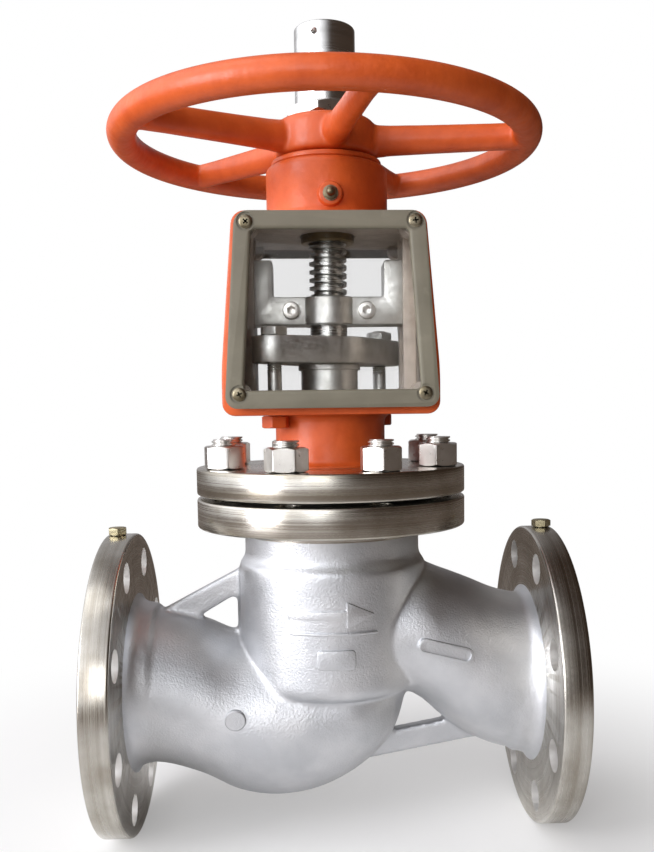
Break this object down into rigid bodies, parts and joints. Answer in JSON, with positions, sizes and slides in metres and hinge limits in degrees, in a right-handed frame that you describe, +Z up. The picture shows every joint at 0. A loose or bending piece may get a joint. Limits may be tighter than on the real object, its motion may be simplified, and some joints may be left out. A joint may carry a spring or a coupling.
{
  "type": "globe valve",
  "caption": "Flanged outside-screw globe valve with an S-shaped body, windowed yoke, guided rising stem, bolted gland and spoked handwheel.",
  "frame": {"origin": "where the pipe axis meets the stem axis", "axes": "+X along the pipe from the inlet to the outlet, +Z up the stem to the handwheel, the yoke windows face -Y and +Y"},
  "size_m": [0.35, 0.3158, 0.6022],
  "materials": {
    "cast_steel": "pickled and blasted stainless casting with machined flanges",
    "turned_steel": "turned stainless steel",
    "orange_enamel": "satin orange enamel over a casting",
    "grey_steel": "dull grey steel",
    "stem_steel": "ground and threaded stainless steel",
    "olive_paint": "satin olive grey paint on sheet steel",
    "clear_pane": "clear flat pane",
    "bearing_steel": "ground bearing steel",
    "bronze": "turned bronze",
    "packing_fibre": "braided packing",
    "gasket_graphite": "graphite gasket in a steel carrier"
  },
  "bodies": {
    "valve_body": {"body": "cast_steel", "bonnet_stud_1": "turned_steel", "bonnet_stud_2": "turned_steel", "bonnet_stud_3": "turned_steel", "bonnet_stud_4": "turned_steel", "bonnet_stud_5": "turned_steel", "bonnet_stud_6": "turned_steel", "bonnet_stud_7": "turned_steel", "bonnet_stud_8": "turned_steel", "bonnet_nut_1": "turned_steel", "bonnet_nut_2": "turned_steel", "bonnet_nut_3": "turned_steel", "bonnet_nut_4": "turned_steel", "bonnet_nut_5": "turned_steel", "bonnet_nut_6": "turned_steel", "bonnet_nut_7": "turned_steel", "bonnet_nut_8": "turned_steel", "grounding_bolt_inlet": "turned_steel", "grounding_bolt_outlet": "turned_steel", "bonnet_yoke": "orange_enamel", "bearing_cap": "orange_enamel", "gland_bolt_left": "orange_enamel", "gland_bolt_right": "orange_enamel", "packing_seat_ring": "grey_steel", "gland_follower": "grey_steel", "gland_flange": "grey_steel", "gland_nut_left": "grey_steel", "gland_nut_right": "grey_steel", "grease_nipple": "grey_steel", "front_window_frame": "olive_paint", "rear_window_frame": "olive_paint", "front_window_pane": "clear_pane", "rear_window_pane": "clear_pane", "lower_bearing_housing_race": "bearing_steel", "upper_bearing_housing_race": "bearing_steel", "packing_ring_1": "packing_fibre", "packing_ring_2": "packing_fibre", "packing_ring_3": "packing_fibre", "packing_ring_4": "packing_fibre", "bonnet_gasket": "gasket_graphite"},
    "handwheel": {"handwheel": "orange_enamel", "stem_nut": "bronze", "handwheel_lock_nut": "turned_steel", "stem_cover_tube": "turned_steel", "handwheel_key": "grey_steel", "lower_bearing_shaft_race": "bearing_steel", "upper_bearing_shaft_race": "bearing_steel", "lower_bearing_balls": "bearing_steel", "upper_bearing_balls": "bearing_steel"},
    "stem": {"stem": "stem_steel", "guide_plate_front": "grey_steel", "guide_plate_rear": "grey_steel", "guide_bolt_left": "grey_steel", "guide_bolt_right": "grey_steel", "guide_nut_left": "grey_steel", "guide_nut_right": "grey_steel"},
    "disc": {"disc": "turned_steel", "disc_nut": "turned_steel"}
  },
  "joints": [
    {"name": "handwheel_turn", "type": "hinge", "parent": "valve_body", "child": "handwheel", "pos_m": [0, 0, 0.407], "axis": [0, 0, 1], "range_deg": [0, 1080]},
    {"name": "stem_lift", "type": "slide", "parent": "valve_body", "child": "stem", "axis": [0, 0, 1], "range_m": [0, 0.018]},
    {"name": "disc_swivel", "type": "hinge", "parent": "stem", "child": "disc", "pos_m": [0, 0, 0.03], "axis": [0, 0, 1], "continuous": true}
  ],
  "couplings": [
    {"joint": "stem_lift", "follows": "handwheel_turn", "m_per_rad": 0.00095493}
  ]
}
